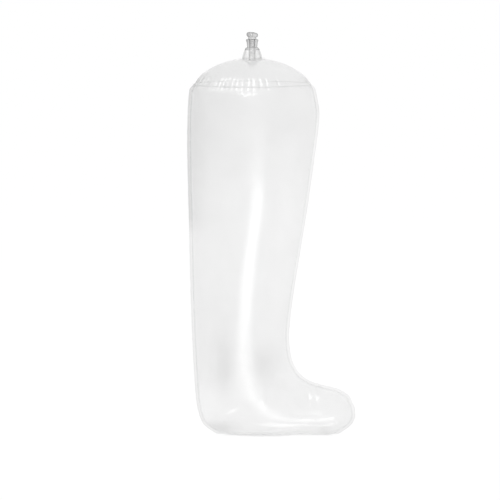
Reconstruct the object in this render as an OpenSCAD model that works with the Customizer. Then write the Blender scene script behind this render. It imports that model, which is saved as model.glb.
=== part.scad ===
// An inflatable boot shaper: a boot-shaped bag of clear film, blown up through
// a small moulded valve in its domed cap. Toe towards +X, up +Z, origin under
// the middle of the foot. All sizes are millimetres.

/* [Leg] */
// Height of the cap seam above the sole
leg_height = 268; // [262:1:276]
// Radius of the round cap seam
cap_radius = 44; // [42:0.5:46]
// Front to back across the fullest part of the calf, without the seam margins
calf_depth = 96; // [92:0.5:99]
// Side to side across the fullest part of the calf
calf_width = 94.5; // [90:0.5:98]
// Front to back across the narrowest part of the ankle
ankle_depth = 69; // [66:0.5:72]

/* [Foot] */
// Heel to toe over the calf's back line, without the seam margins
film_length = 124; // [120:0.5:128]
// Height of the foot over the toes
toe_height = 35; // [33:0.5:38]
// Side to side across the front of the foot
toe_width = 42; // [38:0.5:46]
// How far the round foot is pressed flat by standing on it
sole_press = 2.4; // [1.5:0.1:3]

/* [Cap] */
// Rise of the blown-up cap above its seam
cap_rise = 20; // [16:0.5:22]
// Radius of the flat spot that carries the valve
flat_radius = 11.5; // [11:0.5:13]

/* [Film] */
// Thickness of the film
film = 0.3; // [0.25:0.05:0.4]
// How far a welded margin stands out from the bag
margin = 2; // [1:0.1:2.5]

/* [Valve] */
// Radius of the bore that the air goes through
bore_radius = 2.3; // [2:0.05:2.4]
// Radial gap between the stopper's shank and the bore
shank_gap = 0.05; // [0.02:0.01:0.1]
// Height of the soft cone that lets the valve be pushed in
cone_height = 6.2; // [5:0.1:7]
// Height of the blowing stem above the cone's shoulder
stem_height = 8; // [7:0.1:9]
// Height of the stopper's knob
knob_height = 4.7; // [4:0.1:5]

/* [Hidden] */

clear_film = [0.90, 0.91, 0.92, 0.45];
welded_film = [0.82, 0.83, 0.84, 0.65];
clear_moulding = [0.78, 0.79, 0.80, 0.70];

// Places along the leg and foot
back_x = -film_length / 2;
toe_x = film_length / 2;
leg_x = back_x + 3.4 + cap_radius;
calf_front_x = back_x + calf_depth;
ankle_front_x = back_x + 4.4 + ankle_depth;
half_toe = toe_width / 2;
half_calf = calf_width / 2;

// The bag as cross-sections from the cap seam, down the leg and round the heel
// to the toe: front x, front z, back x, back z, half width, how low it bulges
sections = [
  [leg_x + cap_radius, leg_height, leg_x - cap_radius, leg_height, cap_radius, 0],
  [calf_front_x - 1.8, leg_height - 9, back_x + 1.4, leg_height - 9, half_calf - 0.3, 0],
  [calf_front_x + 0.6, leg_height - 20, back_x + 0.4, leg_height - 20, half_calf, 0],
  [calf_front_x - 0.3, leg_height - 35, back_x, leg_height - 35, half_calf - 0.1, 0],
  [calf_front_x - 3.4, leg_height - 57, back_x + 0.1, leg_height - 57, half_calf - 1.0, 0],
  [ankle_front_x + 14.4, 176, back_x + 0.9, 176, 43.5, 0],
  [ankle_front_x + 8.7, 141, back_x + 1.7, 141, 40.3, 0],
  [ankle_front_x + 3.4, 108, back_x + 2.5, 108, 37.2, 0],
  [ankle_front_x + 0.6, 86, back_x + 3.3, 84, 35.0, 0],
  [ankle_front_x, 73, back_x + 4.2, 64, 33.3, 0],
  [ankle_front_x + 1.2, 62, back_x + 5.3, 44, 31.8, 0.02],
  [ankle_front_x + 3.5, 54, back_x + 6.9, 25, 30.4, 0.06],
  [ankle_front_x + 7, 48, back_x + 10.8, 11, 29.0, 0.10],
  [ankle_front_x + 11.8, 43, back_x + 19.6, 3.9, 27.4, 0.14],
  [ankle_front_x + 17.8, 39.6, back_x + 33, -sole_press / 2, 26.0, 0.18],
  [toe_x - 26, toe_height + 2.1, back_x + 57, -sole_press, 23.7, 0.22],
  [toe_x - 18, toe_height + 0.3, back_x + 82, -sole_press, half_toe, 0.26],
  [toe_x - 10.4, toe_height - 1.9, toe_x - 20, -sole_press / 2, half_toe - 2.4, 0.25],
  [toe_x - 4.4, toe_height - 6.4, toe_x - 9.5, 4.2, half_toe - 6.6, 0.2],
  [toe_x - 1.1, toe_height - 13.6, toe_x - 2.6, 9.2, half_toe - 13.2, 0.1],
  [toe_x, 15, toe_x, 15, 0, 0]
];
toe = len(sections) - 1;
heel_lift = 13.6; // where the heel meets the floor, in sections
toe_lift = 17.3;  // where the sole leaves the floor, in sections

// Past the toe the front and the back change places, so the tip comes out round
function past_toe(q) = [q[2], q[3], q[0], q[1], -q[4], q[5]];
function station(i) =
  i < 0 ? 2 * sections[0] - sections[1] :
  i > toe ? past_toe(sections[2 * toe - i]) : sections[i];

// A smooth curve through the stations
function blend(a, b, c, d, u) =
  b + (c - a) * u / 2 + (2 * a - 5 * b + 4 * c - d) * u * u / 2
  + (3 * b - a - 3 * c + d) * u * u * u / 2;
function section(s) =
  let (i = min(max(floor(s), 0), toe - 1))
  blend(station(i - 1), station(i), station(i + 1), station(i + 2), s - i);

// The film stands flat on the floor, but is held up a little by the margin of
// the seam, which is crushed flat under the middle of the sole
crush_height = 0.9;
crush_reach = 5;
function floor_z(y) = crush_height * max(1 - abs(y) / crush_reach, 0);

// A point of the bag's outside: phi is 0 on the front seam, 180 on the back one
function skin(s, phi) =
  let (
    q = section(s),
    mid = [q[0] + q[2], q[1] + q[3]] / 2,
    arm = [q[0] - q[2], q[1] - q[3]] / 2,
    c = cos(phi),
    y = q[4] * sin(phi) * (1 - q[5] * c)
  )
  [mid[0] + arm[0] * c, y, max(mid[1] + arm[1] * c, floor_z(y))];
function outward(s, phi) =
  let (
    ds = 0.02,
    dp = 0.5,
    n = cross(skin(s, phi + dp) - skin(s, phi - dp), skin(s + ds, phi) - skin(s - ds, phi))
  )
  n / -norm(n);
function lining(s, phi) = skin(s, phi) - film * outward(s, phi);

// Fineness of the side panels
rings_each = 2;  // rings in each section
ring_steps = 36; // steps from the front seam to the back seam
rings = toe * rings_each;

// The half of the bag on the +Y side, as a closed skin of film
module half_bag() {
  row = ring_steps + 1;
  lining_at = rings * row;
  toe_out = 2 * rings * row;
  toe_in = toe_out + 1;
  outer = [for (i = [0:rings - 1], j = [0:ring_steps])
    skin(i / rings_each, 180 * j / ring_steps)];
  inner = [for (i = [0:rings - 1], j = [0:ring_steps])
    let (p = lining(i / rings_each, 180 * j / ring_steps))
    j % ring_steps == 0 ? [p[0], 0, p[2]] : p];
  tip = [sections[toe][0], 0, sections[toe][1]];
  outer_faces = [for (i = [0:rings - 2], j = [0:ring_steps - 1])
    let (a = i * row + j, b = a + row)
    each [[a, b, a + 1], [a + 1, b, b + 1]]];
  inner_faces = [for (f = outer_faces) [f[0], f[2], f[1]] + lining_at * [1, 1, 1]];
  last = (rings - 1) * row;
  tip_faces = [for (j = [0:ring_steps - 1])
    each [
      [last + j, toe_out, last + j + 1],
      [lining_at + last + j, lining_at + last + j + 1, toe_in]
    ]];
  top_faces = [for (j = [0:ring_steps - 1])
    each [[j, j + 1, lining_at + j], [j + 1, lining_at + j + 1, lining_at + j]]];
  front_faces = [for (i = [0:rings - 2])
    let (a = i * row, b = a + row)
    each [[a, lining_at + a, b], [b, lining_at + a, lining_at + b]]];
  back_faces = [for (i = [0:rings - 2])
    let (a = i * row + ring_steps, b = a + row)
    each [[a, b, lining_at + a], [b, lining_at + b, lining_at + a]]];
  seam_tip_faces = [
    [last, lining_at + last, toe_out],
    [toe_out, lining_at + last, toe_in],
    [last + ring_steps, toe_out, lining_at + last + ring_steps],
    [toe_out, toe_in, lining_at + last + ring_steps]
  ];
  polyhedron(
    concat(outer, inner, [tip, tip - [film, 0, 0]]),
    concat(outer_faces, inner_faces, tip_faces, top_faces, front_faces, back_faces, seam_tip_faces),
    convexity = 6
  );
}

module left_side_panel() {
  color(clear_film) half_bag();
}

module right_side_panel() {
  color(clear_film) mirror([0, 1, 0]) half_bag();
}

// The cap is part of an ellipse turned about the valve's axis, flat at the top
cap_drop = 8; // how far the ellipse's centre lies below the seam
cap_steps = 9;
flange_radius = 10.5;
cone_wall = 0.9;
cone_foot = 7.6;  // outer radius of the cone where it stands on the flange
cone_top = 5.7;   // outer radius of the cone where it meets the stem
cap_hole = cone_foot + 0.6;
seam_angle = asin(cap_drop / (cap_rise + cap_drop));
flat_angle = acos(flat_radius / cap_radius * cos(seam_angle));
flat_z = leg_height - cap_drop + (cap_rise + cap_drop) * sin(flat_angle);
function cap_point(a, inset) =
  let (
    out = [cap_radius * cos(a) / cos(seam_angle), (cap_rise + cap_drop) * sin(a)],
    n = [cos(a) / cap_radius * cos(seam_angle), sin(a) / (cap_rise + cap_drop)]
  )
  [0, leg_height - cap_drop] + out - inset * n / norm(n);
function cap_angle(i) = seam_angle + (flat_angle - seam_angle) * i / cap_steps;

module top_cap_panel() {
  color(clear_film)
  translate([leg_x, 0, 0])
  rotate_extrude($fn = 144)
  polygon(concat(
    [for (i = [0:cap_steps]) cap_point(cap_angle(i), 0)],
    [[cap_hole, flat_z], [cap_hole, flat_z - film]],
    [for (i = [cap_steps:-1:1]) cap_point(cap_angle(i), film)],
    [[cap_radius - film, leg_height]]
  ));
}

// Where a side seam runs, and which way is out of the bag there
function seam_point(s, phi) = let (p = skin(s, phi)) [p[0], p[2]];
function seam_out(s, phi) =
  s == toe ? [1, 0] : let (n = outward(s, phi)) [n[0], n[2]] / norm([n[0], n[2]]);

// A welded margin: both films fused into one flat strip that stands on the seam
module seam_strip(stops) {
  corners = [for (q = stops)
    let (
      p = seam_point(q[0], q[1]),
      o = p + margin * seam_out(q[0], q[1]),
      z = max(o[1], 0)
    )
    each [[p[0], film, p[1]], [p[0], -film, p[1]], [o[0], -film, z], [o[0], film, z]]];
  last = 4 * (len(stops) - 1);
  sides = [for (k = [0:len(stops) - 2], c = [0:3])
    let (a = 4 * k + c, b = 4 * k + (c + 1) % 4)
    each [[a, b, b + 4], [a, b + 4, a + 4]]];
  ends = [[0, 2, 1], [0, 3, 2], [last, last + 1, last + 2], [last, last + 2, last + 3]];
  polyhedron(corners, concat(sides, ends), convexity = 6);
}

seam_start = 0.07; // just under the cap's own margin, in sections
seam_step = 1 / rings_each;

module back_seam_weld() {
  color(welded_film)
  mirror([0, 1, 0])
  seam_strip([for (s = [seam_start, for (s = [seam_step:seam_step:heel_lift]) s]) [s, 180]]);
}

module front_seam_weld() {
  color(welded_film)
  seam_strip(concat(
    [for (s = [seam_start, for (s = [seam_step:seam_step:toe]) s]) [s, 0]],
    [for (s = [toe - seam_step:-seam_step:toe_lift]) [s, 180]]
  ));
}

// Under the foot the margin is crushed flat between the film and the floor
module sole_seam_weld() {
  heel_end = back_x + 30;
  toe_end = toe_x - 21;
  color(welded_film)
  translate([heel_end, -margin / 2, 0])
  cube([toe_end - heel_end, margin, 2 * film]);
}

// The cap's margin runs round the bag, and leans up a little
cap_margin = 1.6;
cap_lean = 0.5;

module cap_seam_weld() {
  color(welded_film)
  translate([leg_x, 0, leg_height])
  rotate_extrude($fn = 144)
  polygon([
    [cap_radius + 0.02, 0],
    [cap_radius + 0.18, -film],
    [cap_radius + cap_margin, cap_lean - film],
    [cap_radius + cap_margin, cap_lean + film],
    [cap_radius - 0.08, film]
  ]);
}

// The valve stands on the flat spot of the cap
flange_height = 0.9;
flange_top = flat_z + flange_height;
cone_top_z = flange_top + cone_height;
tube_radius = 3.1;
tube_end_z = flange_top - 1.6;
shoulder_height = 1.7;
waist_radius = 3.9;
lip_radius = 4.65;
lip_height = 0.9;
lip_z = cone_top_z + stem_height;

module turned(profile) {
  translate([leg_x, 0, 0]) rotate_extrude($fn = 96) polygon(profile);
}

module valve_flange() {
  color(clear_moulding) turned([
    [cone_foot, flat_z],
    [flange_radius, flat_z],
    [flange_radius, flat_z + 0.5],
    [flange_radius - 0.6, flange_top],
    [cone_foot, flange_top]
  ]);
}

// The cone hangs in the flange's hole, so that it can fold down through it
module valve_cone() {
  color(clear_moulding) turned([
    [cone_foot - cone_wall, flat_z],
    [cone_foot, flat_z],
    [cone_foot, flange_top],
    [cone_top, cone_top_z],
    [cone_top - cone_wall, cone_top_z],
    [cone_foot - cone_wall, flange_top]
  ]);
}

// Stem with its shoulder, blowing lip and the inner tube that carries the flap
flap_hinge_x = 3.75;
flap_gap = 0.05;
flap_thickness = 0.5;
bead_radius = 0.35;

module valve_stem() {
  lug_width = 1.6;
  color(clear_moulding) {
    turned([
      [bore_radius, tube_end_z],
      [tube_radius, tube_end_z],
      [tube_radius, cone_top_z],
      [cone_top, cone_top_z],
      [cone_top - 0.5, cone_top_z + 0.8],
      [waist_radius, cone_top_z + shoulder_height],
      [lip_radius, lip_z - lip_height],
      [lip_radius, lip_z],
      [bore_radius, lip_z]
    ]);
    translate([leg_x + tube_radius - 0.2, -lug_width / 2, tube_end_z + 0.15])
    cube([flap_hinge_x - tube_radius + 0.5, lug_width, 1.2]);
  }
}

// A loose disc under the tube: blowing swings it down, the bag's air shuts it
module check_flap() {
  flap_radius = 2.95;
  hinge_width = 2.2;
  hinge_z = tube_end_z - bead_radius;
  color(clear_moulding) {
    translate([leg_x, 0, tube_end_z - flap_gap - flap_thickness])
    cylinder(r = flap_radius, h = flap_thickness, $fn = 64);
    translate([leg_x + 2.4, -hinge_width / 2, tube_end_z - flap_gap - flap_thickness])
    cube([flap_hinge_x - 2.4, hinge_width, flap_thickness]);
    translate([leg_x + flap_hinge_x, -hinge_width / 2, hinge_z])
    rotate([-90, 0, 0])
    cylinder(r = bead_radius, h = hinge_width, $fn = 32);
  }
}

// Stopper: a tapered shank in the bore, a neck and a round pull knob
neck_radius = 3.4;
neck_height = 1.4;
knob_radius = 4.4;
shank_length = 6.4;

module stopper() {
  shank = bore_radius - shank_gap;
  knob_z = lip_z + neck_height;
  color(clear_moulding) turned([
    [0, lip_z - shank_length],
    [shank - 0.5, lip_z - shank_length],
    [shank, lip_z - shank_length + 1],
    [shank, lip_z],
    [neck_radius, lip_z],
    [neck_radius - 0.3, knob_z - 0.3],
    [knob_radius - 0.6, knob_z],
    [knob_radius, knob_z + 1.2],
    [knob_radius, knob_z + knob_height - 2.0],
    [knob_radius - 0.7, knob_z + knob_height - 0.7],
    [knob_radius - 2, knob_z + knob_height],
    [0, knob_z + knob_height]
  ]);
}

// A thin tail that keeps the stopper on the stem, looped out at the back
strap_width = 2.4;
strap_thickness = 0.8;
strap_bend = 2.6;

module stopper_strap() {
  low_z = lip_z - lip_height / 2;
  high_z = low_z + 2 * strap_bend;
  loop_y = lip_radius + 1.6;
  color(clear_moulding)
  translate([leg_x, 0, 0]) {
    strap_arm(lip_radius, loop_y, low_z);
    strap_arm(knob_radius, loop_y, high_z);
    translate([-strap_width / 2, loop_y, low_z + strap_bend])
    rotate([0, 90, 0])
    rotate_extrude(angle = 180, $fn = 64)
    translate([strap_bend - strap_thickness / 2, 0])
    square([strap_thickness, strap_width]);
  }
}

// A flat arm of the strap from a round piece of this radius out to the loop
module strap_arm(radius, reach, z) {
  difference() {
    translate([-strap_width / 2, radius - 1, z - strap_thickness / 2])
    cube([strap_width, reach - radius + 1, strap_thickness]);
    translate([0, 0, z - strap_thickness])
    cylinder(r = radius, h = 2 * strap_thickness, $fn = 96);
  }
}

right_side_panel();
left_side_panel();
top_cap_panel();
back_seam_weld();
front_seam_weld();
sole_seam_weld();
cap_seam_weld();
valve_flange();
valve_cone();
valve_stem();
check_flap();
stopper();
stopper_strap();
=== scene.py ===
import math
import random

import bmesh
import bpy
import numpy as np
from mathutils import Matrix, Vector, noise
from mathutils.bvhtree import BVHTree


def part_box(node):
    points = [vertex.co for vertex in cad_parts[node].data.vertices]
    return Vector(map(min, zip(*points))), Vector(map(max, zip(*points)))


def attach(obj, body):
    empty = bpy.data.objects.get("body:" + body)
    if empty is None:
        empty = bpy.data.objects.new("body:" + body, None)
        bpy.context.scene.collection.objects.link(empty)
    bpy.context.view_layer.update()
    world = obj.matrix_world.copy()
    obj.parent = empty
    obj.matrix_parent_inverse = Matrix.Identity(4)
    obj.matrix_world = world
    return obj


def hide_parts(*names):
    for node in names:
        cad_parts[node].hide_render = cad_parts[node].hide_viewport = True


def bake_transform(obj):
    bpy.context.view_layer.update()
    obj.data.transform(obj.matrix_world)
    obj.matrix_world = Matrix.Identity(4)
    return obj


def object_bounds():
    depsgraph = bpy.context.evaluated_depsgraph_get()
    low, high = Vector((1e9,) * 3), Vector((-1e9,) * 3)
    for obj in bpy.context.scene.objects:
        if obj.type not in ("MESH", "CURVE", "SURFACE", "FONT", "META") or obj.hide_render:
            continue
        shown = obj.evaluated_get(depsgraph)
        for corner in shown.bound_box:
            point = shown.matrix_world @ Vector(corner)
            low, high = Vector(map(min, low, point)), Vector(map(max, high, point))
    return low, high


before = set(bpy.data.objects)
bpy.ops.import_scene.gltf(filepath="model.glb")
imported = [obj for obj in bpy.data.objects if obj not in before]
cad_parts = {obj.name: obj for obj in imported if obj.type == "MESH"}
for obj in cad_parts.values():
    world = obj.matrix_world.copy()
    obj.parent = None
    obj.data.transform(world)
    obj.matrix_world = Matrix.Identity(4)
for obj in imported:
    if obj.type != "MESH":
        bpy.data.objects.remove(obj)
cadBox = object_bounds()
mm = 0.001


# Camera, made first: a long way off, and a little above the bag
camera = {
    "pictureWide": 500,             # pixels each way
    "pixelsPerMm": 1.31,
    "footPixel": (271.3, 435.6),    # where the frame's origin falls in the picture
    "distance": 5.0,
    "elevation": 4.5,               # degrees above the horizon, at the picture's middle
    "sensor": 36.0,
    "clipEnd": 100.0,
}


def makeCamera():
    half = camera["pictureWide"] / 2
    tilt = math.radians(camera["elevation"])
    scale = camera["pixelsPerMm"] / math.cos(tilt)
    aimX = (half - camera["footPixel"][0]) / camera["pixelsPerMm"] * mm
    aimZ = (camera["footPixel"][1] - half) / camera["pixelsPerMm"] * mm
    seen = camera["pictureWide"] / scale * mm
    data = bpy.data.cameras.new("photoCamera")
    data.sensor_width = camera["sensor"]
    data.lens = camera["sensor"] * camera["distance"] / seen
    data.clip_end = camera["clipEnd"]
    eye = bpy.data.objects.new("photoCamera", data)
    back = Vector((0, -math.cos(tilt), math.sin(tilt)))
    eye.location = Vector((aimX, 0, aimZ)) + back * camera["distance"]
    eye.rotation_euler = (math.pi / 2 - tilt, 0, 0)
    bpy.context.scene.collection.objects.link(eye)
    bpy.context.scene.camera = eye


makeCamera()
bpy.context.scene.view_settings.view_transform = "Standard"
bpy.context.scene.cycles.transparent_max_bounces = 32     # the valve is many clear walls deep
print("camera made")


# Node helpers for the materials
def newMaterial(name):
    made = bpy.data.materials.new(name)
    made.use_nodes = True
    made.node_tree.nodes.clear()
    return made, made.node_tree


def addNode(tree, kind, settings=None, **sockets):
    node = tree.nodes.new(kind)
    for key, value in (settings or {}).items():
        setattr(node, key, value)
    for key, value in sockets.items():
        byNumber = key[0] == "i" and key[1:].isdigit()      # i0, i1 and so on
        socket = node.inputs[int(key[1:]) if byNumber else key]
        if isinstance(value, bpy.types.NodeSocket):
            tree.links.new(value, socket)
        else:
            socket.default_value = value
    return node


def addMath(tree, operation, first, second):
    return addNode(tree, "ShaderNodeMath", {"operation": operation}, i0=first, i1=second).outputs[0]


# As the value runs over the span, the result runs from low to high
def addRange(tree, value, low, high, span=(0.0, 1.0), kind="LINEAR"):
    return addNode(
        tree, "ShaderNodeMapRange", {"interpolation_type": kind}, Value=value,
        **{"From Min": span[0], "From Max": span[1], "To Min": low, "To Max": high}
    ).outputs[0]


def grey(level, alpha=1.0):
    return (level, level, level, alpha)


# Clear plastic: what is behind it shows through, a little darker where it is seen edge on
clearFilm = {
    "through": 0.987,       # share of the light that passes each surface
    "throughEdge": 0.965,   # the same where the surface is seen edge on
    "edgePower": 3.0,
    "gloss": 0.042,         # mirror share, seen straight on
    "glossEdge": 0.70,      # and seen edge on
    "glossPower": 5.0,
    "roughness": 0.17,
    "haze": 0.010,
    "hazeGrey": 0.9,
    "cloudScale": 45.0,
    "cloudDetail": 3.0,
    "cloudSpan": (0.3, 0.7),
    "cloudDepth": 0.010,
    "grainScale": 900.0,
    "grainDetail": 2.0,
    "grainHeight": 0.1 * mm,
    "grainBump": 0.05,
}
weldedFilm = dict(
    clearFilm, through=0.932, throughEdge=0.90, roughness=0.20, haze=0.02,
    grainScale=1500.0, grainBump=0.25
)
softWeld = dict(
    weldedFilm, through=0.998, throughEdge=0.996, gloss=0.01, glossEdge=0.1, haze=0.001,
    cloudDepth=0.002
)
clearMoulding = dict(
    clearFilm, through=0.978, throughEdge=0.60, edgePower=3.2, glossEdge=0.5, roughness=0.08,
    haze=0.012, cloudDepth=0.03
)
thinMoulding = dict(clearMoulding, throughEdge=0.95)
thickMoulding = dict(
    clearMoulding, throughEdge=0.38, edgePower=1.8, cloudScale=420.0, cloudDepth=0.10
)


def addNoise(tree, spot, look, kind):
    scale, detail = look[kind + "Scale"], look[kind + "Detail"]
    return addNode(tree, "ShaderNodeTexNoise", Vector=spot, Scale=scale, Detail=detail).outputs["Fac"]


def clearMaterial(name, look):
    made, tree = newMaterial(name)
    spot = addNode(tree, "ShaderNodeTexCoord").outputs["Object"]
    facing = addNode(tree, "ShaderNodeLayerWeight", Blend=0.5).outputs["Facing"]
    cloud = addNoise(tree, spot, look, "cloud")
    grain = addNoise(tree, spot, look, "grain")
    bump = addNode(
        tree, "ShaderNodeBump", Height=grain, Strength=look["grainBump"], Distance=look["grainHeight"]
    ).outputs[0]
    edge = addMath(tree, "POWER", facing, look["edgePower"])
    passed = addRange(tree, edge, look["through"], look["throughEdge"])
    clouded = addRange(tree, cloud, 1 - look["cloudDepth"], 1.0, look["cloudSpan"])
    # The shade attribute carries painted shade, and painted light where it is negative
    shade = addNode(tree, "ShaderNodeAttribute", {"attribute_name": "shade"}).outputs["Fac"]
    unshaded = addMath(tree, "SUBTRACT", 1.0, shade)
    tint = addMath(tree, "MULTIPLY", addMath(tree, "MULTIPLY", passed, clouded), unshaded)
    clear = addNode(tree, "ShaderNodeBsdfTransparent", Color=tint).outputs[0]
    veil = addNode(tree, "ShaderNodeBsdfDiffuse", Color=grey(look["hazeGrey"]), Normal=bump).outputs[0]
    body = addNode(tree, "ShaderNodeMixShader", i0=look["haze"], i1=clear, i2=veil).outputs[0]
    mirror = addNode(
        tree, "ShaderNodeBsdfGlossy", Color=grey(1.0), Roughness=look["roughness"], Normal=bump
    ).outputs[0]
    grazing = addMath(tree, "POWER", facing, look["glossPower"])
    shine = addRange(tree, grazing, look["gloss"], look["glossEdge"])
    skin = addNode(tree, "ShaderNodeMixShader", i0=shine, i1=body, i2=mirror).outputs[0]
    addNode(tree, "ShaderNodeOutputMaterial", Surface=skin)
    return made


filmLook = clearMaterial("clearFilm", clearFilm)
weldLook = clearMaterial("weldedFilm", weldedFilm)
softWeldLook = clearMaterial("softWeld", softWeld)
mouldLook = clearMaterial("clearMoulding", clearMoulding)
thinLook = clearMaterial("thinMoulding", thinMoulding)
thickLook = clearMaterial("thickMoulding", thickMoulding)
print("materials made")


def toMesh(bm, name):
    mesh = bpy.data.meshes.new(name)
    bm.to_mesh(mesh)
    bm.free()
    return mesh


def place(mesh, name):
    piece = bpy.data.objects.new(name, mesh)
    bpy.context.scene.collection.objects.link(piece)
    return piece


def only(geom, kind):    # what an operator made, of one kind
    return [part for part in geom if isinstance(part, kind)]


def finishPiece(bm, name, look, body, node):      # a smooth piece that stands for a CAD node
    for face in bm.faces:
        face.smooth = True
    piece = place(toMesh(bm, name), name)
    piece.data.materials.append(look)
    if body:
        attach(piece, body)
    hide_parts(node)
    return piece


def giveWall(piece, thickness, offset=0):
    wall = piece.modifiers.new("wall", "SOLIDIFY")
    wall.thickness = thickness
    wall.offset = offset


def applied(piece):      # the mesh with its modifiers, and the piece gone
    graph = bpy.context.evaluated_depsgraph_get()
    done = bpy.data.meshes.new_from_object(piece.evaluated_get(graph))
    bpy.data.objects.remove(piece)
    return done


# The bag's skin, from the CAD film: both side sheets and the cap, before any waves
film = {
    "thickness": 0.3 * mm,
    "merge": 0.001 * mm,        # points nearer than this are one
    "mergeSeam": 0.02 * mm,     # and where two films meet
    "nearRim": 0.2 * mm,        # the rim where the cap begins is found within this
    "subdivisions": 2,
    "capRings": 11,             # rings of the cap before it is subdivided
    "evenRings": 0.25,          # 1 spaces them evenly, less draws them together at the seam
    "besideEdge": 0.1 * mm,     # the cap's height is read this far beside its own edges
    "holeMargin": 0.6 * mm,     # how far the cap's hole clears the cone
    "fineBelow": 16 * mm,       # how far under the cap's seam the skin is twice as fine
    "ringwise": 0.8,            # an edge runs round the cap if it points this nearly round it
    "fineToe": ((22, 65), (13, 46)),    # the toe is finer here, along and up in millimetres
}


def joinedCopy(node):
    bm = bmesh.new()
    bm.from_mesh(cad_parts[node].data)
    bmesh.ops.remove_doubles(bm, verts=bm.verts, dist=film["merge"])
    return bm


def spread(start):       # every face that hangs together with this one
    found, waiting = {start}, [start]
    while waiting:
        for edge in waiting.pop().edges:
            fresh = [f for f in edge.link_faces if f not in found]
            found.update(fresh)
            waiting.extend(fresh)
    return found


def outerSheet(node):    # the outside of a side panel, as quads
    bm = joinedCopy(node)
    nearTop = max(v.co.z for v in bm.verts) - film["thickness"] / 2

    def onRim(face):     # between the inside and the outside, along the side seam or the top
        points = [v.co for v in face.verts]
        return all(abs(p.y) < film["merge"] for p in points) or all(p.z > nearTop for p in points)

    bmesh.ops.delete(bm, geom=[f for f in bm.faces if onRim(f)], context="FACES_ONLY")
    kept = spread(max(bm.faces, key=lambda f: abs(f.calc_center_median().y)))
    bmesh.ops.delete(bm, geom=[f for f in bm.faces if f not in kept], context="FACES")
    bmesh.ops.delete(bm, geom=[e for e in bm.edges if not e.link_faces], context="EDGES")
    bmesh.ops.delete(bm, geom=[v for v in bm.verts if not v.link_edges], context="VERTS")
    toe = max(bm.verts, key=lambda v: v.co.x)
    grid = [f for f in bm.faces if toe not in f.verts]
    bmesh.ops.join_triangles(
        bm, faces=grid, angle_face_threshold=math.pi, angle_shape_threshold=math.pi
    )
    return bm


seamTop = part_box("left_side_panel")[1].z
capLow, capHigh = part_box("top_cap_panel")
coneLow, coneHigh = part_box("valve_cone")
axisX = (capLow.x + capHigh.x) / 2
capRadius = (capHigh.x - capLow.x) / 2
capHole = (coneHigh.x - coneLow.x) / 2 + film["holeMargin"]


def capProfile():        # radius and height of each ring of the cap, from the seam to the hole
    tree = BVHTree.FromBMesh(joinedCopy("top_cap_panel"))
    even = film["evenRings"]
    rings = []
    for step in range(1, film["capRings"] + 1):
        share = step / film["capRings"]
        radius = capRadius - (capRadius - capHole) * (even * share + (1 - even) * share * share)
        high = Vector((axisX + radius, film["besideEdge"], 1))
        hit = tree.ray_cast(high, Vector((0, 0, -1)))[0]
        rings.append((radius, hit.z))
    return rings


def blowUp():            # one closed skin: both side films and the cap
    bm = bmesh.new()
    for node in ("right_side_panel", "left_side_panel"):
        mesh = toMesh(outerSheet(node), node + "Sheet")
        bm.from_mesh(mesh)
        bpy.data.meshes.remove(mesh)
    bmesh.ops.remove_doubles(bm, verts=bm.verts, dist=film["mergeSeam"])
    crease = bm.edges.layers.float.new("crease_edge")
    rim = seamTop - film["nearRim"]
    ring = [e for e in bm.edges if e.is_boundary and all(v.co.z > rim for v in e.verts)]
    for edge in ring:
        edge[crease] = 1.0
    for radius, height in capProfile():
        made = bmesh.ops.extrude_edge_only(bm, edges=ring)["geom"]
        ring = only(made, bmesh.types.BMEdge)
        for vert in only(made, bmesh.types.BMVert):
            out = Vector((vert.co.x - axisX, vert.co.y)).normalized() * radius
            vert.co = (axisX + out.x, out.y, height)
    bmesh.ops.recalc_face_normals(bm, faces=bm.faces)
    skin = place(toMesh(bm, "bag"), "bag")
    smooth = skin.modifiers.new("smooth", "SUBSURF")
    smooth.levels = smooth.render_levels = film["subdivisions"]
    smooth.boundary_smooth = "PRESERVE_CORNERS"
    return refine(applied(skin))


def refine(mesh):        # twice as many columns round the cap and just under its seam, a finer toe
    bm = bmesh.new()
    bm.from_mesh(mesh)
    bpy.data.meshes.remove(mesh)
    level = seamTop - film["fineBelow"]

    def runsRound(edge):
        a, b = (v.co for v in edge.verts)
        if min(a.z, b.z) < level:
            return False
        along = Vector((a.y + b.y, axisX * 2 - a.x - b.x, 0)).normalized()
        return abs((b - a).normalized().dot(along)) > film["ringwise"]

    def halve(edges):
        bmesh.ops.subdivide_edges(bm, edges=edges, cuts=1, use_grid_fill=True)

    halve([e for e in bm.edges if runsRound(e)])
    along, up = film["fineToe"]
    toe = {v for v in bm.verts if along[0] < v.co.x / mm < along[1] and up[0] < v.co.z / mm < up[1]}
    halve([e for e in bm.edges if toe.issuperset(e.verts)])
    print("skin has", len(bm.verts), "points,", sum(e.is_boundary for e in bm.edges), "open edges")
    return toMesh(bm, "skin")


def readPoints(mesh):
    co = np.empty(len(mesh.vertices) * 3)
    mesh.vertices.foreach_get("co", co)
    return co.reshape(-1, 3)


def readNormals(mesh):
    out = np.empty(len(mesh.vertices) * 3)
    mesh.vertex_normals.foreach_get("vector", out)
    return out.reshape(-1, 3)


def writePoints(mesh, co):
    mesh.vertices.foreach_set("co", co.reshape(-1))
    mesh.update()


def easeOut(x):          # 1 at 0, falling smoothly to 0 at 1
    x = np.clip(x, 0, 1)
    return 1 - x * x * (3 - 2 * x)
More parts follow.
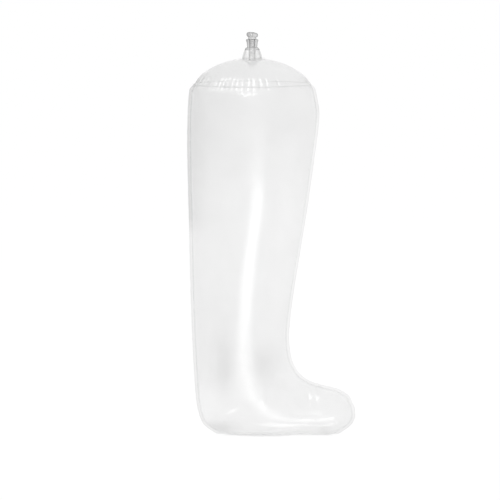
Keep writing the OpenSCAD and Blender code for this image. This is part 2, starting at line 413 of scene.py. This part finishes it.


# Gathers along the cap's round seam: the film bulges between sharp creases, with painted shade along
# each crease
gathers = {
    "seed": 31,
    "pitch": (2.8 * mm, 6.0 * mm),      # least and most between two creases
    "depth": (0.6 * mm, 2.4 * mm),
    "reach": (8.0 * mm, 19.0 * mm),     # how far a crease runs up the cap
    "reachBelow": (3.0 * mm, 9.0 * mm),
    "below": 0.8,                       # their depth under the seam
    "wide": (0.20, 0.32),               # half width of a crease, as a share of the pitch
    "atSeam": 0.35,                     # the share of its depth that it has at the seam
    "fullAt": 0.18,                     # and the share of its reach where it is deepest
    "grey": 0.045,                      # how dark a deep crease looks: painted shade along it
    "lean": 0.9 * mm,                   # how far its end stands to one side at most
    "fullest": -125,                    # where round the seam they are deepest, in degrees
    "quiet": 0.35,                      # their depth on the calmest side
    "swell": 0.25,                      # how far the film between them stands out
    "roll": (1.6 * mm, 2.2 * mm, 3.6 * mm),     # under the seam: height, how far down, half width
    "rollLeast": 0.2,                   # the roll's share where it meets the side seam
}


def gatherSeam(co):
    chance = random.Random(gathers["seed"])
    turn = np.arctan2(co[:, 1], co[:, 0] - axisX)
    out = np.hypot(co[:, 0] - axisX, co[:, 1])
    above = co[:, 2] > seamTop
    away = np.where(above, np.hypot(capRadius - out, co[:, 2] - seamTop), seamTop - co[:, 2])
    lift = gathers["swell"] * gathers["depth"][1] * easeOut(away / gathers["reach"][1])
    high, down, wide = gathers["roll"]
    roll = high * np.exp(-0.5 * ((away - down) / wide) ** 2) * ~above * np.clip(away / wide, 0, 1)
    least = gathers["rollLeast"]
    lift += roll * (least + (1 - least) * np.abs(np.sin(turn)))
    shade = np.zeros(len(co))
    at = 0.0
    while at < 2 * math.pi:
        pitch = chance.uniform(*gathers["pitch"]) / capRadius
        depth = chance.uniform(*gathers["depth"])
        reach, reachBelow = chance.uniform(*gathers["reach"]), chance.uniform(*gathers["reachBelow"])
        lean = chance.uniform(-1, 1) * gathers["lean"] / capRadius
        wide = pitch * chance.uniform(*gathers["wide"])
        near = 0.5 + 0.5 * math.cos(at - math.radians(gathers["fullest"]))
        depth *= gathers["quiet"] + (1 - gathers["quiet"]) * near
        far = away / np.where(above, reach, reachBelow)
        off = (turn - at - lean * np.minimum(far, 1) + math.pi) % (2 * math.pi) - math.pi
        rise = gathers["atSeam"] + (1 - gathers["atSeam"]) * np.clip(far / gathers["fullAt"], 0, 1)
        share = np.where(above, 1.0, gathers["below"]) * rise * easeOut(far)
        crease = depth * np.exp(-np.abs(off) / wide) * share
        lift -= crease
        # painted shade along the crease
        shade += gathers["grey"] * crease / gathers["depth"][1] * np.exp(-np.abs(off) / wide)
        at += pitch
    return lift, shade


# Slow waves that a blown-up film always has
waves = {
    "height": 0.16 * mm,
    "longWay": 0.10,            # their length up the leg, and round it
    "shortWay": 0.034,
    "seed": 3.7,
    "ripple": (0.5, 2.3),       # finer waves on them: share of the height, and how many to a wave
}


def slowWaves(co):
    lift = np.empty(len(co))
    short, long = waves["shortWay"], waves["longWay"]
    low, finer = waves["ripple"]
    for i, (x, y, z) in enumerate(co):
        spot = Vector((x / short, y / short + waves["seed"], z / long))
        lift[i] = noise.noise(spot) + low * noise.noise(spot * finer)
    return lift * waves["height"]


# Shallow swells and dents of the film: place, size across and up, turn, how far out in
# millimetres, and the sides of the bag that have them, 1 for each side from -Y to +Y
swells = [
    {"at": (-3, 180), "size": (15, 23), "turn": 0, "out": 1.6, "sides": (1, 1)},
    {"at": (2, 160), "size": (13, 26), "turn": 0, "out": 0.8, "sides": (1, 1)},
    {"at": (-21, 82), "size": (8, 30), "turn": 3, "out": -0.5, "sides": (1, 1)},
    {"at": (-42.7, 38.2), "size": (5, 14), "turn": 0, "out": 1.6, "sides": (0, 1)},
    {"at": (-30.9, 18.6), "size": (13, 12.2), "turn": 0, "out": -1.4, "sides": (1, 1)},
    {"at": (-25.3, 35.4), "size": (7.4, 17.6), "turn": 0, "out": -0.9, "sides": (0, 1)},
    {"at": (-5.6, 43.4), "size": (3.5, 14.6), "turn": 0, "out": 1.3, "sides": (0, 1)},
    {"at": (15.6, 21.5), "size": (10.6, 7.3), "turn": 0, "out": -1.65, "sides": (1, 1)},
    {"at": (20.9, 11.7), "size": (32, 5.1), "turn": 0, "out": -1.5, "sides": (1, 1)},
    {"at": (25.6, 1), "size": (10.8, 30), "turn": 0, "out": -1.9, "sides": (1, 1)},
    {"at": (50, 5.6), "size": (3.5, 15), "turn": 0, "out": 1.4, "sides": (0, 1)},
    {"at": (-36, 57), "size": (6, 22), "turn": 4, "out": -0.7, "sides": (1, 0)},
    {"at": (-6, 56), "size": (8, 15), "turn": -12, "out": -0.8, "sides": (1, 0)},
    {"at": (-52, 33), "size": (5, 14), "turn": 8, "out": -0.5, "sides": (1, 0)},
    {"at": (41, 6), "size": (4, 4), "turn": 0, "out": -0.5, "sides": (1, 0)},
]


def patch(co, row):      # 1 in the middle of a patch, fading to 0 round it
    x = co[:, 0] / mm - row["at"][0]
    z = co[:, 2] / mm - row["at"][1]
    turn = math.radians(row["turn"])
    across = (x * math.cos(turn) + z * math.sin(turn)) / row["size"][0]
    up = (z * math.cos(turn) - x * math.sin(turn)) / row["size"][1]
    return np.exp(-0.5 * (across ** 2 + up ** 2))


def onSides(co, row):
    return np.where(co[:, 1] < 0, *row["sides"])


def swellFilm(co):
    lift = np.zeros(len(co))
    for row in swells:
        lift += patch(co, row) * row["out"] * mm * onSides(co, row)
    return lift


# Short sharp folds in the film: from and to in millimetres, width, height, sides as above.
# A negative height is a valley
folds = [
    {"from": (30.8, 27), "to": (31.4, 37), "wide": 1.5, "height": 1.5, "sides": (1, 0)},
    {"from": (36.0, 27), "to": (36.6, 36.5), "wide": 1.7, "height": 1.7, "sides": (1, 0)},
    {"from": (22, 37), "to": (27, 29), "wide": 1.3, "height": 0.4, "sides": (1, 1)},
    {"from": (10, 48), "to": (2, 40), "wide": 1.8, "height": 0.5, "sides": (1, 1)},
    {"from": (56.5, 33), "to": (58, 26), "wide": 1.0, "height": 0.5, "sides": (1, 1)},
    {"from": (62, 25), "to": (60, 17), "wide": 1.0, "height": 0.5, "sides": (1, 0)},
    {"from": (-34, 11.5), "to": (-21, 17), "wide": 2.6, "height": -1.5, "sides": (0, 1)},
    {"from": (-43, 21), "to": (-49, 10), "wide": 1.6, "height": 0.5, "sides": (1, 0)},
    {"from": (40, 7), "to": (44, 3), "wide": 1.2, "height": 0.5, "sides": (1, 0)},
    {"from": (-50, 30), "to": (-46, 22), "wide": 1.4, "height": 0.4, "sides": (0, 1)},
]
foldShape = {"ends": 0.12, "taperPower": 0.7, "edgePower": 1.4}


def foldFilm(co):
    lift = np.zeros(len(co))
    flat = co[:, [0, 2]] / mm
    ends = foldShape["ends"]
    for row in folds:
        start, end = np.array(row["from"], float), np.array(row["to"], float)
        line = end - start
        along = ((flat - start) @ line / (line @ line)).clip(0, 1)
        away = np.hypot(*(flat - start - along[:, None] * line).T)
        taper = np.sin(math.pi * (ends + (1 - 2 * ends) * along)) ** foldShape["taperPower"]
        ridge = np.exp(-np.abs(away / row["wide"]) ** foldShape["edgePower"])
        lift += row["height"] * mm * ridge * taper * onSides(co, row)
    return lift


# Painted shade in the film, as shares of the light that each surface keeps back: darker towards the
# back, the top and the floor, in patches and along the back seam. A negative one makes the film
# clearer there: painted light, as along the front seam
shades = {
    "leg": {"paintedShade": (0.0185, 0.0055), "from": 0, "over": 72},      # millimetres from the back line
    "foot": {"paintedShade": (0.000, 0.0075), "from": 6, "over": 60},
    "footTop": (26 * mm, 50 * mm),      # between these heights the foot's painted shade turns into the leg's
    "bands": [                          # painted shade that grows from one height to another: darker at the top, low on the leg and by the floor
        {"depth": 0.0145, "from": 165 * mm, "to": 250 * mm},
        {"depth": 0.004, "from": 150 * mm, "to": 95 * mm},
        {"depth": 0.012, "from": 13 * mm, "to": 0},
        {"depth": 0.004, "from": 5 * mm, "to": 0},
    ],
    "backLine": {                       # painted dark line along the back seam: depth in the film, strip on its margin
        "depth": 0.042, "margin": 2 * mm, "reach": 9 * mm,
        "between": (152 * mm, 300 * mm), "fade": 16 * mm, "strip": 0.10,
    },
    # painted lighter line along the front seam
    "frontLine": {
        "depth": -0.014, "reach": 6 * mm,
        "between": (12 * mm, 246 * mm), "fade": 8 * mm, "strip": -0.026,
    },
    "patches": [                        # painted dark patches, on the side towards -Y
        {"at": (-36, 57), "size": (6, 19), "turn": 4, "depth": 0.052},
        {"at": (-6, 55), "size": (8, 12), "turn": -12, "depth": 0.050},
        {"at": (-43, 5), "size": (10, 5), "turn": 12, "depth": 0.085},
        {"at": (41, 5), "size": (4, 4), "turn": 0, "depth": 0.030},
    ],
}


def lineShare(line, height):     # 1 along the painted part of a seam, fading to 0 at both ends
    start, end = line["between"]
    fromStart, fromEnd = (height - start) / line["fade"], (end - height) / line["fade"]
    return np.clip(fromStart, 0, 1) * np.clip(fromEnd, 0, 1)


def acrossShade(part, fromBack):
    back, front = part["paintedShade"]
    return back + (front - back) * np.clip((fromBack - part["from"]) / part["over"], 0, 1)


# Painted shade and light for each point of the film
def shadeFilm(co):
    x, y, z = co.T
    back = cadBox[0].x
    leg, foot = (acrossShade(shades[part], (x - back) / mm) for part in ("leg", "foot"))
    start, end = shades["footTop"]
    level = foot + (leg - foot) * (1 - easeOut((z - start) / (end - start)))
    for band in shades["bands"]:
        start, end = band["from"], band["to"]
        level += band["depth"] * (1 - easeOut((z - start) / (end - start)))
    line = shades["backLine"]
    nearBack = np.exp(-(x - back - line["margin"]).clip(0) / line["reach"])
    level += line["depth"] * lineShare(line, z) * nearBack
    line = shades["frontLine"]
    nearFront = np.exp(-(y / line["reach"]) ** 2) * (x > axisX)
    level += line["depth"] * lineShare(line, z) * nearFront
    for row in shades["patches"]:
        level += patch(co, row) * row["depth"] * (y < 0)
    return level


# The film has its full swells and waves from these distances on
calm = {"sideSeam": 12 * mm, "capSeam": 10 * mm, "floor": 6 * mm}


def shapeFilm(mesh):
    co = readPoints(mesh)
    normals = readNormals(mesh)
    nearSeam = np.clip(np.abs(co[:, 1]) / calm["sideSeam"], 0, 1)
    nearCap = np.clip(np.abs(co[:, 2] - seamTop) / calm["capSeam"], 0, 1)
    floorward = np.clip(co[:, 2] / calm["floor"], 0, 1)
    # the gathers give their lift and the painted shade along their creases
    lift, creaseShade = gatherSeam(co)
    lift += foldFilm(co) + swellFilm(co) * nearSeam + slowWaves(co) * nearSeam * nearCap * floorward
    writePoints(mesh, co + normals * lift[:, None])
    shade = mesh.attributes.new("shade", "FLOAT", "POINT")
    shade.data.foreach_set("value", (shadeFilm(co) + creaseShade).astype(np.float32))
    return mesh


def takeSheet(mesh, name, node, wanted):      # one film of the bag, with its thickness
    bm = bmesh.new()
    bm.from_mesh(mesh)
    others = [f for f in bm.faces if not wanted(restCentre[f.index])]
    bmesh.ops.delete(bm, geom=others, context="FACES")
    piece = finishPiece(bm, name, filmLook, "envelope", node)
    giveWall(piece, film["thickness"], -1)


restMesh = blowUp()
restCentre = [f.center.copy() for f in restMesh.polygons]
bagMesh = shapeFilm(restMesh.copy())
takeSheet(bagMesh, "rightFilm", "right_side_panel", lambda c: c.z < seamTop and c.y < 0)
takeSheet(bagMesh, "leftFilm", "left_side_panel", lambda c: c.z < seamTop and c.y > 0)
takeSheet(bagMesh, "capFilm", "top_cap_panel", lambda c: c.z > seamTop)
print("film shaped")

# Welded margins: both films pressed into one thin strip that stands on the seam
margins = {
    "width": 2.0 * mm,
    "thickness": 0.55 * mm,
    "closed": False,
    "columns": 5,
    "tucked": 0.15 * mm,        # how far a strip reaches into the seam
    "ragged": 0.10,             # how uneven its cut edge is, as a share of the width
    "raggedPitch": 2.3 * mm,
    "flutter": 0.22 * mm,       # how far it waves from side to side
    "flutterPitch": 9 * mm,
    "flutterSeed": 7,
    "shade": 0.002,
    "rimShade": 0.020,          # along the cut edge
    "rimPower": 4,
    "taper": 6 * mm,            # over this length its ends grow to full width
    "endShare": 0.25,           # from this share of it
    "flatBelow": 1.6 * mm,      # the strip ends where the seam comes this near the floor
}
capMargin = dict(
    margins, width=1.1 * mm, thickness=0.3 * mm, closed=True, ragged=0.35, shade=0.0,
    rimShade=0.002, seed=2.7, lean=30, sway=60, swayPitch=6 * mm,
    lines=[(-42, 8, 0.006), (27, 41, 0.012)],   # arcs that show as a grey line: from, to, depth
    lineMean=0.75, lineUneven=0.5, linePitch=4.0, lineSeed=6.1
)
soleMargin = {
    "segments": (64, 4),
    "ragged": (margins["ragged"], 3 * mm, 8.2),     # share of the width, pitch, seed
    "rise": (0.08 * mm, 4 * mm, 3.1),               # height, pitch, seed
    "thickness": margins["thickness"] * 0.8,
}


def seamPath():          # the points of the side seam: down the back, along the sole, up the front
    top = seamTop + film["mergeSeam"]
    onSeam = [abs(v.co.y) < film["merge"] and v.co.z < top for v in restMesh.vertices]
    beside = {}
    for edge in restMesh.edges:
        a, b = edge.vertices
        if onSeam[a] and onSeam[b]:
            beside.setdefault(a, []).append(b)
            beside.setdefault(b, []).append(a)
    ends = [v for v, near in beside.items() if len(near) == 1]
    path = [min(ends, key=lambda v: restMesh.vertices[v].co.x)]
    while True:
        fresh = [v for v in beside[path[-1]] if len(path) < 2 or v != path[-2]]
        if not fresh:
            return [bagMesh.vertices[v].co.copy() for v in path]
        path.append(fresh[0])


def smoothNoise(along, pitch, seed):
    return noise.noise(Vector((along / pitch, seed, 0.5)))


def standStrip(points, outward, name, node, look, strip, seed):
    bm = bmesh.new()
    spot = bm.verts.layers.int.new("spot")
    shade = bm.verts.layers.float.new("shade")
    verts = [bm.verts.new(p - o * strip["tucked"]) for p, o in zip(points, outward)]
    for i, vert in enumerate(verts):
        vert[spot] = i
    after = verts[1:] + (verts[:1] if strip["closed"] else [])
    edges = [bm.edges.new(pair) for pair in zip(verts, after)]
    along = [0.0]
    for a, b in zip(points, points[1:]):
        along.append(along[-1] + (b - a).length)
    for column in range(1, strip["columns"] + 1):
        made = bmesh.ops.extrude_edge_only(bm, edges=edges)["geom"]
        edges = only(made, bmesh.types.BMEdge)
        share = column / strip["columns"]
        for vert in only(made, bmesh.types.BMVert):
            i = vert[spot]
            ragged = 1 + strip["ragged"] * smoothNoise(along[i], strip["raggedPitch"], seed) * share
            vert[shade] = strip["shade"] + strip["rimShade"] * share ** strip["rimPower"]
            wave = 0
            if strip["closed"]:
                vert[shade] += arcShade(points[i], strip)
            else:
                fromEnd = min(along[i], along[-1] - along[i])
                ragged *= min(1, strip["endShare"] + fromEnd / strip["taper"])
                flutter = smoothNoise(along[i], strip["flutterPitch"], seed + strip["flutterSeed"])
                wave = strip["flutter"] * flutter * share
                # painted shade by the back seam, painted light by the front seam
                vert[shade] += stripShade(points[i])
            reach = strip["width"] * share * ragged
            vert.co = points[i] + outward[i] * reach + Vector((0, wave, 0))
            vert.co.z = max(vert.co.z, strip["thickness"] / 2)
    bmesh.ops.recalc_face_normals(bm, faces=bm.faces)
    piece = finishPiece(bm, name, look, "envelope", node)
    giveWall(piece, strip["thickness"])


def arcShade(co, strip):         # arcs are in degrees, from the side towards -Y to the front seam
    turn = math.degrees(math.atan2(co.x - axisX, -co.y))
    sway = smoothNoise(turn, strip["linePitch"], strip["lineSeed"])
    uneven = strip["lineMean"] + strip["lineUneven"] * sway
    return sum(depth * uneven for start, end, depth in strip["lines"] if start < turn < end)


# Painted shade on a side margin: darker by the back seam, lighter by the front seam
def stripShade(co):
    line = shades["backLine" if co.x < axisX else "frontLine"]
    return line["strip"] * lineShare(line, co.z)


def makeSideMargins():
    path = seamPath()
    outward = []
    for i in range(len(path)):
        ahead = path[min(i + 1, len(path) - 1)] - path[max(i - 1, 0)]
        outward.append(Vector((ahead.z, 0, -ahead.x)).normalized())
    low = [i for i, p in enumerate(path) if p.z < margins["flatBelow"]]
    for name, node, rows, seed in (
        ("backMargin", "back_seam_weld", range(0, low[0] + 1), 1.3),
        ("frontMargin", "front_seam_weld", range(low[-1], len(path)), 5.9),
    ):
        points = [path[i] for i in rows]
        standStrip(points, [outward[i] for i in rows], name, node, weldLook, margins, seed)
    return path[low[0]].x, path[low[-1]].x


def makeCapMargin():
    def onRing(co):
        out = math.hypot(co.x - axisX, co.y)
        return abs(co.z - seamTop) < film["mergeSeam"] and abs(out - capRadius) < film["nearRim"]

    ring = [v for v in restMesh.vertices if onRing(v.co)]
    ring.sort(key=lambda v: math.atan2(v.co.y, v.co.x - axisX))
    points = [bagMesh.vertices[v.index].co.copy() for v in ring]
    outward = []
    for spot in points:
        out = Vector((spot.x - axisX, spot.y, 0)).normalized()
        sway = noise.noise(out * (capRadius / capMargin["swayPitch"]))
        lean = math.radians(capMargin["lean"] + capMargin["sway"] * sway)
        outward.append(out * math.cos(lean) + Vector((0, 0, math.sin(lean))))
    seed = capMargin["seed"]
    standStrip(points, outward, "capMargin", "cap_seam_weld", softWeldLook, capMargin, seed)


def makeSoleMargin(start, end):      # under the foot the strip is trodden flat
    low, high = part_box("sole_seam_weld")
    columns, rows = soleMargin["segments"]
    ragged, raggedPitch, raggedSeed = soleMargin["ragged"]
    rise, risePitch, riseSeed = soleMargin["rise"]
    bm = bmesh.new()
    bmesh.ops.create_grid(bm, x_segments=columns, y_segments=rows, size=0.5)
    for vert in bm.verts:
        x = start + (end - start) * (vert.co.x + 0.5)
        wide = (high.y - low.y) * (1 + ragged * smoothNoise(x, raggedPitch, raggedSeed))
        z = (low.z + high.z) / 2 + rise * smoothNoise(x, risePitch, riseSeed)
        vert.co = (x, vert.co.y * wide, z)
    piece = finishPiece(bm, "soleMargin", weldLook, "envelope", "sole_seam_weld")
    giveWall(piece, soleMargin["thickness"])


soleStart, soleEnd = makeSideMargins()
makeSoleMargin(soleStart, soleEnd)
makeCapMargin()
print("margins made")


# Valve: outlines in millimetres, out from the valve's axis and up from the flange's foot
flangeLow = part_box("valve_flange")[0]
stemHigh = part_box("valve_stem")[1]
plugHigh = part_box("stopper")[1]
valve = {
    "steps": 72,
    "softEdge": 0.14 * mm,
    "sharpFrom": 0.6,           # edges round it that turn by more than this are softened, in radians
    "flange": [(7.5, 0.03), (10.5, 0.03), (10.3, 0.45), (9.6, 0.86), (7.5, 0.9)],
    "cone": [
        (6.75, 0.03), (7.6, 0.03), (7.6, 0.9), (7.2, 2.6), (6.65, 4.6), (6.1, 6.2), (5.7, 7.1),
        (4.85, 7.1), (5.3, 6.1), (5.8, 4.5), (6.35, 2.6), (6.72, 1.0),
    ],
    "stem": [
        (2.3, -0.66), (3.1, -0.66), (3.05, 7.1), (5.65, 7.1), (5.5, 7.7), (4.9, 8.35), (4.1, 8.8),
        (3.85, 9.4), (3.95, 11.0), (4.25, 12.9), (4.55, 13.7), (4.65, 14.3), (4.55, 14.85),
        (4.1, 15.1), (2.3, 15.1),
    ],
    "plug": [
        (0, 8.75), (1.7, 8.75), (2.2, 9.7), (2.25, 15.12), (3.25, 15.16), (3.1, 15.8), (2.9, 16.5),
        (3.5, 16.8), (4.15, 17.35), (4.4, 18.3), (4.3, 19.2), (3.7, 19.9), (2.6, 20.15),
        (1.5, 19.95), (0, 19.9),
    ],
    "paintedShade": [                  # height, and how much painted shade the plastic keeps back there
        (0, 0.0), (7, 0.02), (8.6, 0.04), (9.6, 0.06), (13, 0.08), (15.1, 0.17), (15.3, 0.07),
        (16.4, 0.08), (17.2, 0.16), (19, 0.15), (20, 0.07),
    ],
    "darkSide": 0.6,            # how much more painted shade on the side of the heel
    "darkReach": 4.5 * mm,      # at this distance from the axis
    "bore": 3.2 * mm,           # no painted shade nearer to the axis than this
    "thinBelow": 7.0 * mm,      # the stem's tube is thin inside the cone
    "knobTilt": (7, -9),        # degrees about Y and X, above the neck
    "tiltFrom": 16.2,           # millimetres, as in the outlines
    "tiltOver": 0.9,            # the tilt sets in over this height
    "tiltPivot": 18 * mm,
}


def turned(profile, base):       # a closed or axis-to-axis outline turned about the valve's axis
    bm = bmesh.new()
    verts = [bm.verts.new((axisX + r * mm, 0, base + z * mm)) for r, z in profile]
    ends = [] if profile[0][0] == 0 else verts[:1]
    geom = verts + [bm.edges.new(pair) for pair in zip(verts, verts[1:] + ends)]
    bmesh.ops.spin(
        bm, geom=geom, cent=(axisX, 0, 0), axis=(0, 0, 1), angle=2 * math.pi,
        steps=valve["steps"], use_merge=True
    )
    bmesh.ops.remove_doubles(bm, verts=bm.verts, dist=film["merge"])
    bmesh.ops.recalc_face_normals(bm, faces=bm.faces)

    def isRing(edge):
        a, b = (v.co.z for v in edge.verts)
        return abs(a - b) < film["merge"]

    sharp = [
        e for e in bm.edges
        if e.is_manifold and e.calc_face_angle() > valve["sharpFrom"] and isRing(e)
    ]
    bmesh.ops.bevel(
        bm, geom=sharp, offset=valve["softEdge"], offset_type="OFFSET", segments=2, profile=0.5,
        affect="EDGES", clamp_overlap=True, material=-1
    )
    return bm


def shadeByHeight(bm, base):      # painted shade by height, darkest at the lip and the knob and more on the heel's side
    heights, levels = zip(*valve["paintedShade"])
    shade = bm.verts.layers.float.new("shade")
    for vert in bm.verts:
        across = vert.co.x - axisX
        inside = math.hypot(across, vert.co.y) < valve["bore"] and vert.co.z < stemHigh.z
        level = float(np.interp((vert.co.z - base) / mm, heights, levels))
        side = 1 - valve["darkSide"] * across / valve["darkReach"]
        vert[shade] = 0.0 if inside else level * side
    return bm


def tiltKnob(bm, base):
    aboutY, aboutX = (math.radians(angle) for angle in valve["knobTilt"])
    turn = Matrix.Rotation(aboutY, 3, "Y") @ Matrix.Rotation(aboutX, 3, "X")
    pivot = Vector((axisX, 0, base + valve["tiltPivot"]))
    for vert in bm.verts:
        height = (vert.co.z - base) / mm
        share = min(max((height - valve["tiltFrom"]) / valve["tiltOver"], 0), 1)
        vert.co = vert.co.lerp(pivot + turn @ (vert.co - pivot), share)


strap = {
    "wide": 1.2 * mm,           # half its width and half its thickness
    "thick": 0.4 * mm,
    "sides": 14,
    "loop": 2.6 * mm,           # radius of the bend
    "steps": 16,
    "inStem": 0.12 * mm,        # its ends stop this far inside its node's box and the knob's
    "inKnob": 0.1 * mm,
}


def makeStrap():         # the stopper's tail, looped out behind the lip
    low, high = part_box("stopper_strap")
    quarter = Matrix.Rotation(math.pi / 2, 3, "X")
    startY = low.y + strap["inStem"]
    lowZ, highZ = low.z + strap["thick"], high.z - strap["thick"]
    middle = Vector((axisX, high.y - strap["loop"] - strap["thick"], (lowZ + highZ) / 2))
    bm = bmesh.new()
    bmesh.ops.create_circle(bm, cap_ends=True, segments=strap["sides"], radius=1)
    bmesh.ops.scale(bm, vec=(strap["wide"], strap["thick"], 1), verts=bm.verts)
    bmesh.ops.rotate(bm, verts=bm.verts, cent=(0, 0, 0), matrix=quarter)
    bmesh.ops.translate(bm, verts=bm.verts, vec=(axisX, startY, lowZ))

    def extrudeEnd(faces, move=None, turn=None):
        made = bmesh.ops.extrude_face_region(bm, geom=faces)["geom"]
        bmesh.ops.delete(bm, geom=faces, context="FACES_ONLY")
        verts = only(made, bmesh.types.BMVert)
        if move:
            bmesh.ops.translate(bm, verts=verts, vec=move)
        else:
            bmesh.ops.rotate(bm, verts=verts, cent=middle, matrix=turn)
        return only(made, bmesh.types.BMFace)

    end = extrudeEnd(list(bm.faces), move=(0, middle.y - low.y - strap["inStem"], 0))
    for _ in range(strap["steps"]):
        end = extrudeEnd(end, turn=Matrix.Rotation(math.pi / strap["steps"], 3, "X"))
    extrudeEnd(end, move=(0, plugHigh.y - middle.y - strap["inKnob"], 0))
    bmesh.ops.remove_doubles(bm, verts=bm.verts, dist=film["merge"])
    bmesh.ops.holes_fill(bm, edges=[e for e in bm.edges if e.is_boundary], sides=0)
    bmesh.ops.recalc_face_normals(bm, faces=bm.faces)
    piece = finishPiece(bm, "stopperTail", mouldLook, None, "stopper_strap")
    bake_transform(piece)


def makeValve():
    base = flangeLow.z
    flange, cone = turned(valve["flange"], base), turned(valve["cone"], base)
    finishPiece(flange, "valveFlange", thinLook, "envelope", "valve_flange")
    cone = finishPiece(cone, "valveCone", mouldLook, None, "valve_cone")
    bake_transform(cone)
    stem = shadeByHeight(turned(valve["stem"], base), base)
    stem = finishPiece(stem, "blowingStem", thickLook, "stem", "valve_stem")
    stem.data.materials.append(thinLook)
    for face in stem.data.polygons:
        face.material_index = int(face.center.z < base + valve["thinBelow"])
    plug = shadeByHeight(turned(valve["plug"], base), base)
    tiltKnob(plug, base)
    finishPiece(plug, "stopperKnob", thickLook, "plug", "stopper")
    makeStrap()
    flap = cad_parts["check_flap"].data
    flap.materials.clear()
    flap.materials.append(mouldLook)


makeValve()
print("valve made")


# Studio: pale floor, white surroundings, and softboxes in front, overhead and at the left
studio = {
    "floorSize": 90.0,
    "ambient": 0.72,
    "floorGlow": 0.965,         # how bright the floor looks before the lamps reach it
    "floorSeen": 0.05,          # its own grey where it is seen
    "floorColour": 0.8,         # and for the light that it throws back on the bag
}
softboxes = {                   # soft is how far each edge fades, as a share of the width and height
    "frontSoftbox": {
        "at": (-0.44, -2.3, 0.83), "aim": (0, 0, 0.4), "size": (1.9, 1.15), "radiance": 4.3,
        "soft": (0.45, 0.08), "fadeUp": 0.7,
    },
    "overheadSoftbox": {
        "at": (-0.55, -0.70, 1.95), "aim": (axisX, 0, seamTop), "size": (1.5, 1.5), "radiance": 3.0,
        "soft": (0.3, 0.3), "fadeUp": 0.0,
    },
    "leftSoftbox": {
        "at": (-1.3, -0.15, 1.2), "aim": (axisX, 0, seamTop), "size": (1.4, 0.9), "radiance": 1.5,
        "soft": (0.3, 0.3), "fadeUp": 0.0,
    },
}


def makeSoftbox(name, settings):
    data = bpy.data.lights.new(name, "AREA")
    data.shape = "RECTANGLE"
    data.size, data.size_y = settings["size"]
    data.energy = settings["radiance"] * math.pi * data.size * data.size_y
    data.use_nodes = True
    tree = data.node_tree
    tree.nodes.clear()
    spot = addNode(tree, "ShaderNodeNewGeometry").outputs["Parametric"]
    across = addNode(tree, "ShaderNodeSeparateXYZ", Vector=spot).outputs
    level = 1.0
    for side, soft in zip(("X", "Y"), settings["soft"]):
        inside = addMath(tree, "MINIMUM", across[side], addMath(tree, "SUBTRACT", 1.0, across[side]))
        fade = addRange(tree, inside, 0.0, 1.0, (0.0, soft), "SMOOTHSTEP")
        level = addMath(tree, "MULTIPLY", level, fade)
    level = addMath(tree, "MULTIPLY", level, addRange(tree, across["Y"], 1.0, 1 - settings["fadeUp"]))
    glow = addNode(tree, "ShaderNodeEmission", Color=grey(1.0), Strength=level).outputs[0]
    addNode(tree, "ShaderNodeOutputLight", Surface=glow)
    lamp = bpy.data.objects.new(name, data)
    lamp.location = settings["at"]
    towards = Vector(settings["aim"]) - Vector(settings["at"])
    lamp.rotation_euler = towards.to_track_quat("-Z", "Y").to_euler()
    lamp.visible_camera = False
    bpy.context.scene.collection.objects.link(lamp)


def shownDirectly(tree):     # seen by the camera, in a reflection or through the plastic
    path = addNode(tree, "ShaderNodeLightPath")
    seen = addMath(tree, "MAXIMUM", path.outputs["Is Camera Ray"], path.outputs["Is Glossy Ray"])
    return addMath(tree, "MAXIMUM", seen, path.outputs["Is Transmission Ray"])


def makeWorld():
    world = bpy.data.worlds.new("studio")
    bpy.context.scene.world = world
    world.use_nodes = True
    tree = world.node_tree
    tree.nodes.clear()
    level = addRange(tree, shownDirectly(tree), studio["ambient"], 1.0)
    light = addNode(tree, "ShaderNodeBackground", Color=grey(1.0), Strength=level).outputs[0]
    addNode(tree, "ShaderNodeOutputWorld", Surface=light)


def makeFloor():
    bm = bmesh.new()
    bmesh.ops.create_grid(bm, x_segments=1, y_segments=1, size=studio["floorSize"] / 2)
    floor = place(toMesh(bm, "floor"), "floor")
    made, tree = newMaterial("paleFloor")
    glow = addNode(tree, "ShaderNodeEmission", Color=grey(1.0), Strength=studio["floorGlow"])
    dull = addNode(tree, "ShaderNodeBsdfDiffuse", Color=grey(studio["floorSeen"]))
    shown = addNode(tree, "ShaderNodeAddShader", i0=glow.outputs[0], i1=dull.outputs[0])
    plain = addNode(tree, "ShaderNodeBsdfDiffuse", Color=grey(studio["floorColour"]))
    mixed = addNode(
        tree, "ShaderNodeMixShader", i0=shownDirectly(tree), i1=plain.outputs[0], i2=shown.outputs[0]
    )
    addNode(tree, "ShaderNodeOutputMaterial", Surface=mixed.outputs[0])
    floor.data.materials.append(made)


makeWorld()
makeFloor()
for boxName, boxSettings in softboxes.items():
    makeSoftbox(boxName, boxSettings)
print("studio made")
